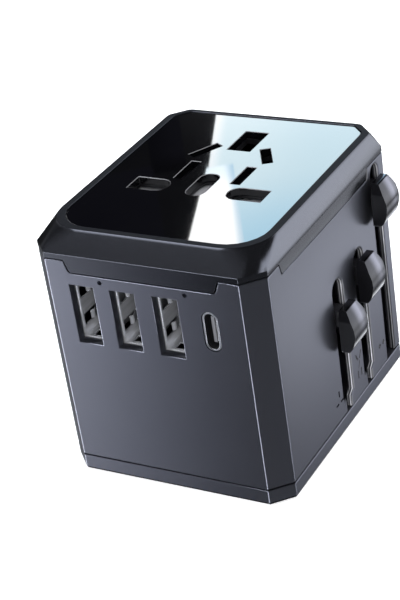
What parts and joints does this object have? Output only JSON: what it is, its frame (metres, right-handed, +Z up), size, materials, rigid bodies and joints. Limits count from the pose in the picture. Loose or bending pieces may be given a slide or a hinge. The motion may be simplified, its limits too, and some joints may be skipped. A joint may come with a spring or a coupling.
{
  "type": "universal travel adapter",
  "caption": "Cube-like travel adapter with sliding UK, US or Australian and European pin sets, a multi-standard socket face and front USB ports.",
  "frame": {"origin": "centre of the flat base", "axes": "+Z up towards the socket face, -Y out of the face with the USB ports, +X out of the face with the three knobs"},
  "size_m": [0.0562, 0.0634, 0.0564],
  "materials": {
    "housing_satin": "satin, gunmetal",
    "knob_satin": "satin, gunmetal",
    "panel_gloss": "mirror-like polished black",
    "inner_black": "fine matt",
    "shutter_grey": "satin",
    "nickel_shell": "bright nickel plate",
    "spring_steel": "drawn",
    "screw_steel": "zinc plate",
    "pin_brass": "polished",
    "pin_nickel": "nickel plate on brass",
    "contact_brass": "stamped",
    "board_green": "solder mask",
    "ferrite": "sintered",
    "winding": "taped copper winding",
    "capacitor_can": "shrink sleeve",
    "chip_black": "moulded",
    "tongue_black": "moulded",
    "light_pipe_clear": "clear",
    "fuse_body": "glazed"
  },
  "bodies": {
    "housing": {"body_shell": "housing_satin", "top_bezel": "housing_satin", "base_cover": "housing_satin", "socket_panel": "panel_gloss", "chassis": "inner_black", "socket_block": "inner_black", "live_contact": "contact_brass", "neutral_contact": "contact_brass", "earth_contact": "contact_brass", "shutter_spring": "spring_steel", "usb_board": "board_green", "power_board": "board_green", "usb_c_shell": "nickel_shell", "usb_c_tongue": "tongue_black", "light_pipe_left": "light_pipe_clear", "light_pipe_right": "light_pipe_clear", "transformer_core": "ferrite", "transformer_coil": "winding", "capacitor_large": "capacitor_can", "capacitor_small": "capacitor_can", "rectifier": "chip_black", "controller_chip": "chip_black", "fuse": "fuse_body", "fuse_clip_front": "nickel_shell", "fuse_clip_back": "nickel_shell", "usb_a_shell_1": "nickel_shell", "usb_a_tongue_1": "tongue_black", "usb_a_shell_2": "nickel_shell", "usb_a_tongue_2": "tongue_black", "usb_a_shell_3": "nickel_shell", "usb_a_tongue_3": "tongue_black", "housing_screw_1": "screw_steel", "housing_screw_2": "screw_steel", "housing_screw_3": "screw_steel", "housing_screw_4": "screw_steel", "detent_spring_uk": "spring_steel", "detent_spring_us_au": "spring_steel", "detent_spring_eu": "spring_steel"},
    "uk_slider": {"uk_carrier": "inner_black", "uk_knob": "knob_satin", "uk_live_pin": "pin_brass", "uk_neutral_pin": "pin_brass", "uk_earth_pin": "pin_brass"},
    "us_au_slider": {"us_au_carrier": "inner_black", "us_au_knob": "knob_satin"},
    "blade_right": {"us_au_blade_right": "pin_nickel"},
    "blade_left": {"us_au_blade_left": "pin_nickel"},
    "eu_slider": {"eu_carrier": "inner_black", "eu_knob": "knob_satin", "eu_pin_right": "pin_nickel", "eu_pin_left": "pin_nickel"},
    "shutter": {"shutter": "shutter_grey"}
  },
  "joints": [
    {"name": "uk_slide", "type": "slide", "parent": "housing", "child": "uk_slider", "axis": [0, 0, -1], "range_m": [0, 0.0175]},
    {"name": "us_au_slide", "type": "slide", "parent": "housing", "child": "us_au_slider", "axis": [0, 0, -1], "range_m": [0, 0.017]},
    {"name": "blade_right_turn", "type": "hinge", "parent": "us_au_slider", "child": "blade_right", "pos_m": [0.00635, 0.0122, 0.011], "axis": [0, 0, 1], "range_deg": [0, 30]},
    {"name": "blade_left_turn", "type": "hinge", "parent": "us_au_slider", "child": "blade_left", "pos_m": [-0.00635, 0.0122, 0.011], "axis": [0, 0, -1], "range_deg": [0, 30]},
    {"name": "eu_slide", "type": "slide", "parent": "housing", "child": "eu_slider", "axis": [0, 0, -1], "range_m": [0, 0.019]},
    {"name": "shutter_slide", "type": "slide", "parent": "housing", "child": "shutter", "axis": [0, 1, 0], "range_m": [0, 0.006], "stiffness_N_per_m": 60, "springref_m": -0.002, "deforming": ["shutter_spring"]}
  ]
}
